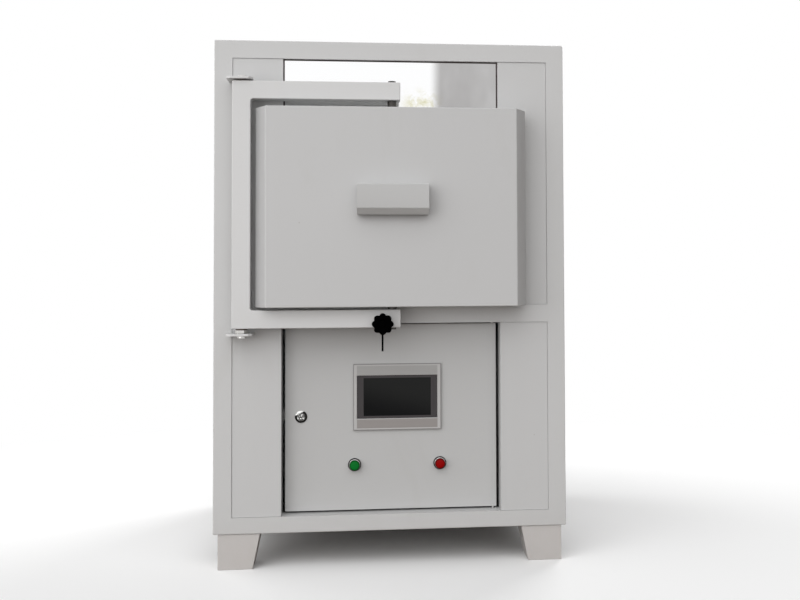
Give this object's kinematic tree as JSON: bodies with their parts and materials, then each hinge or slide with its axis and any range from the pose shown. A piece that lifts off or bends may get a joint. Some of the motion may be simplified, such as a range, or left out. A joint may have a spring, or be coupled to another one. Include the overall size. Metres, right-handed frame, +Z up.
{
  "type": "box furnace",
  "caption": "Floor-standing sheet-metal box furnace on splayed feet, with a plug door hung in a C-shaped swing arm above a recessed control door.",
  "frame": {"origin": "on the floor, under the middle of the bounding box", "axes": "+X to the right seen from the front, +Y from the front to the rear, +Z up"},
  "size_m": [0.79, 0.946, 1.178],
  "materials": {
    "paint": "satin",
    "arm_paint": "satin",
    "polished_steel": "polished",
    "steel": "satin",
    "bush_metal": "satin",
    "fibre_board": "matte",
    "hearth": "matte",
    "element": "matte",
    "sheath": "matte",
    "black_plastic": "satin",
    "dark_plastic": "matte",
    "bezel_plastic": "satin",
    "screen": "gloss",
    "ring_chrome": "polished",
    "green_cap": "satin",
    "red_cap": "satin",
    "zinc_plate": "satin",
    "heat_sink": "satin",
    "grey_plastic": "matte"
  },
  "bodies": {
    "cabinet": {"cabinet_shell": "paint", "front_frame": "paint", "infill_upper_left": "paint", "infill_upper_right": "paint", "infill_lower_left": "paint", "infill_lower_right": "paint", "mouth_plate": "polished_steel", "deck_plate": "steel", "chamber_floor": "fibre_board", "chamber_roof": "fibre_board", "chamber_wall_left": "fibre_board", "chamber_wall_right": "fibre_board", "chamber_back": "fibre_board", "hearth_plate": "hearth", "heating_element_left": "element", "heating_element_right": "element", "thermocouple": "sheath", "rear_cover": "paint", "cable_gland": "dark_plastic", "foot_front_left": "paint", "foot_front_right": "paint", "foot_rear_left": "paint", "foot_rear_right": "paint", "hinge_bracket_top": "paint", "hinge_bracket_bottom": "paint", "hinge_pin_top": "steel", "hinge_pin_bottom": "steel", "hinge_nut": "steel", "clamp_keeper": "steel", "control_hinge_pin_top": "steel", "control_hinge_pin_bottom": "steel", "equipment_plate": "zinc_plate", "circuit_breaker": "grey_plastic", "regulator_heat_sink": "heat_sink"},
    "arm": {"door_arm": "arm_paint", "arm_bush_top": "bush_metal", "arm_bush_bottom": "bush_metal", "clamp_stop_pin": "black_plastic"},
    "door": {"door_shell": "paint", "door_insulation": "fibre_board", "door_plug": "fibre_board", "door_handle": "paint", "door_pivot_top": "steel", "door_pivot_bottom": "steel", "pivot_spacer_top": "steel", "pivot_spacer_bottom": "steel"},
    "clamp": {"clamp_screw": "steel"},
    "knob": {"star_knob": "black_plastic"},
    "control": {"control_door": "paint", "panel_bezel": "bezel_plastic", "panel_glass": "screen", "panel_housing": "dark_plastic", "power_button_ring": "ring_chrome", "heating_button_ring": "ring_chrome", "power_contact_block": "dark_plastic", "heating_contact_block": "dark_plastic", "lock_ring": "ring_chrome"},
    "lock": {"lock_core": "steel"},
    "power": {"power_button": "green_cap"},
    "heating": {"heating_button": "red_cap"}
  },
  "joints": [
    {"name": "arm_swing", "type": "hinge", "parent": "cabinet", "child": "arm", "pos_m": [-0.33, -0.388, 0.806], "axis": [0, 0, -1], "range_deg": [0, 120]},
    {"name": "door_float", "type": "hinge", "parent": "arm", "child": "door", "pos_m": [0, -0.388, 0.7995], "axis": [0, 0, 1], "range_deg": [-0.5, 0.5]},
    {"name": "clamp_travel", "type": "slide", "parent": "arm", "child": "clamp", "axis": [0, 1, 0], "range_m": [0, 0.0045]},
    {"name": "knob_turn", "type": "hinge", "parent": "clamp", "child": "knob", "pos_m": [-0.022, -0.423, 0.542], "axis": [0, 1, 0], "range_deg": [0, 1080]},
    {"name": "control_swing", "type": "hinge", "parent": "cabinet", "child": "control", "pos_m": [0.2315, -0.313, 0.328], "axis": [0, 0, 1], "range_deg": [0, 5.5]},
    {"name": "lock_turn", "type": "hinge", "parent": "control", "child": "lock", "pos_m": [-0.2042, -0.318, 0.3303], "axis": [0, -1, 0], "range_deg": [0, 90]},
    {"name": "power_press", "type": "slide", "parent": "control", "child": "power", "axis": [0, 1, 0], "range_m": [0, 0.004], "stiffness_N_per_m": 400},
    {"name": "heating_press", "type": "slide", "parent": "control", "child": "heating", "axis": [0, 1, 0], "range_m": [0, 0.004], "stiffness_N_per_m": 400}
  ],
  "couplings": [
    {"joint": "clamp_travel", "follows": "knob_turn", "m_per_rad": 0.00023873}
  ]
}
